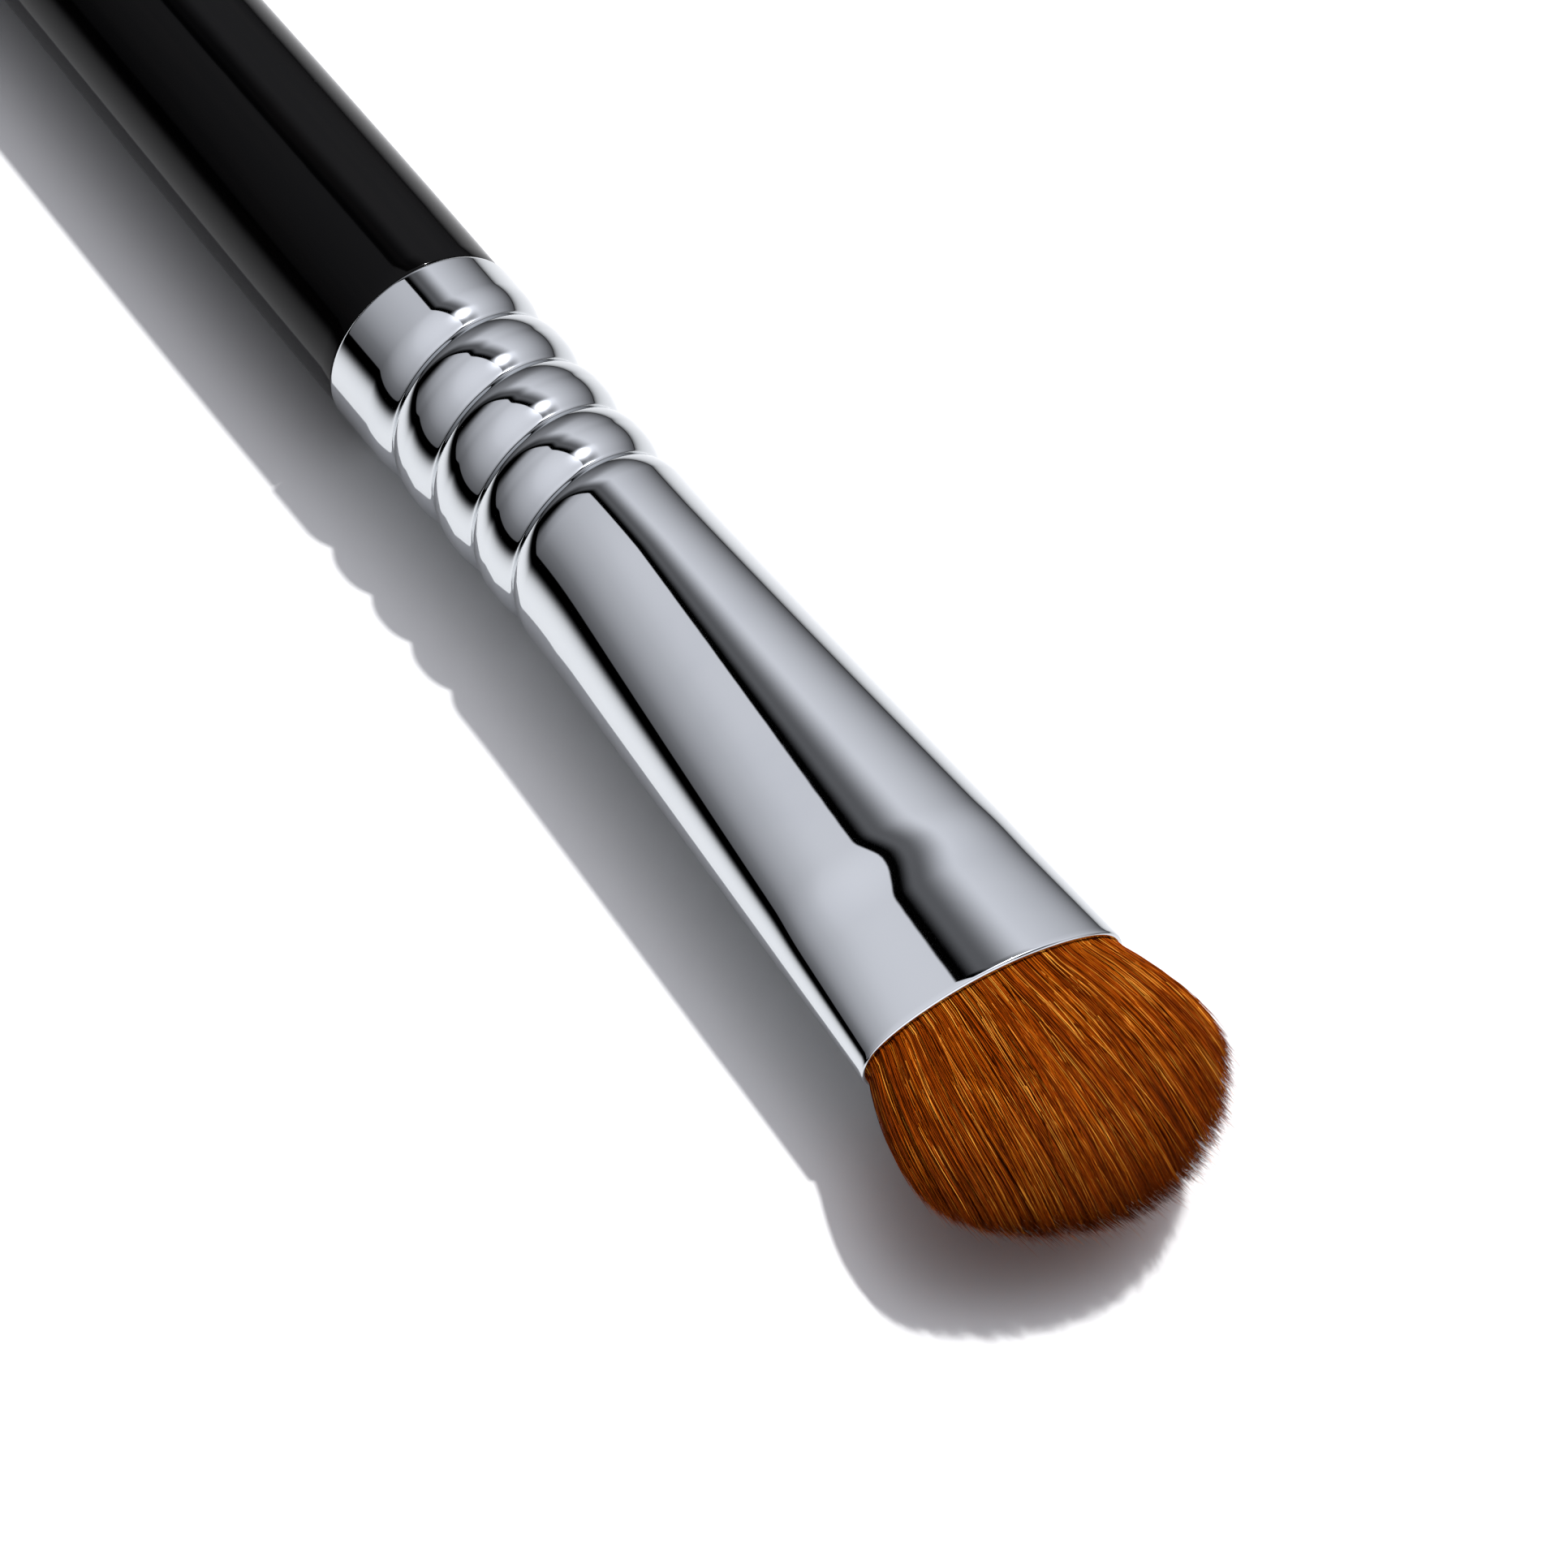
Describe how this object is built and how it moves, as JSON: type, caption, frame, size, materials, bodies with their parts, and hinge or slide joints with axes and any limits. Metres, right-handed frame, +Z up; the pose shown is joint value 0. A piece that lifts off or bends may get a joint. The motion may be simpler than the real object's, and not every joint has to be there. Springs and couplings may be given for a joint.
{
  "type": "eyeshadow brush",
  "caption": "Flat eyeshadow brush: tapered gloss black handle, bright ferrule with a helical crimp and flattened mouth, and a short domed tuft of brown hair.",
  "frame": {"origin": "middle of the brush between tail and tuft tip, on the surface it lies on", "axes": "+X along the brush towards the tuft, +Y across the flat of the tuft, +Z up through its flat face"},
  "size_m": [0.1718, 0.013, 0.0084],
  "materials": {
    "black_lacquer": "gloss black lacquer over turned wood",
    "bright_metal": "mirror bright plating",
    "hair": "fine brown hair with a soft sheen",
    "thread": "waxed binding thread",
    "resin": "cured clear resin"
  },
  "bodies": {
    "root": {"handle": "black_lacquer", "ferrule": "bright_metal", "hair_tuft": "hair", "knot_binding": "thread", "resin_plug": "resin"}
  },
  "joints": []
}
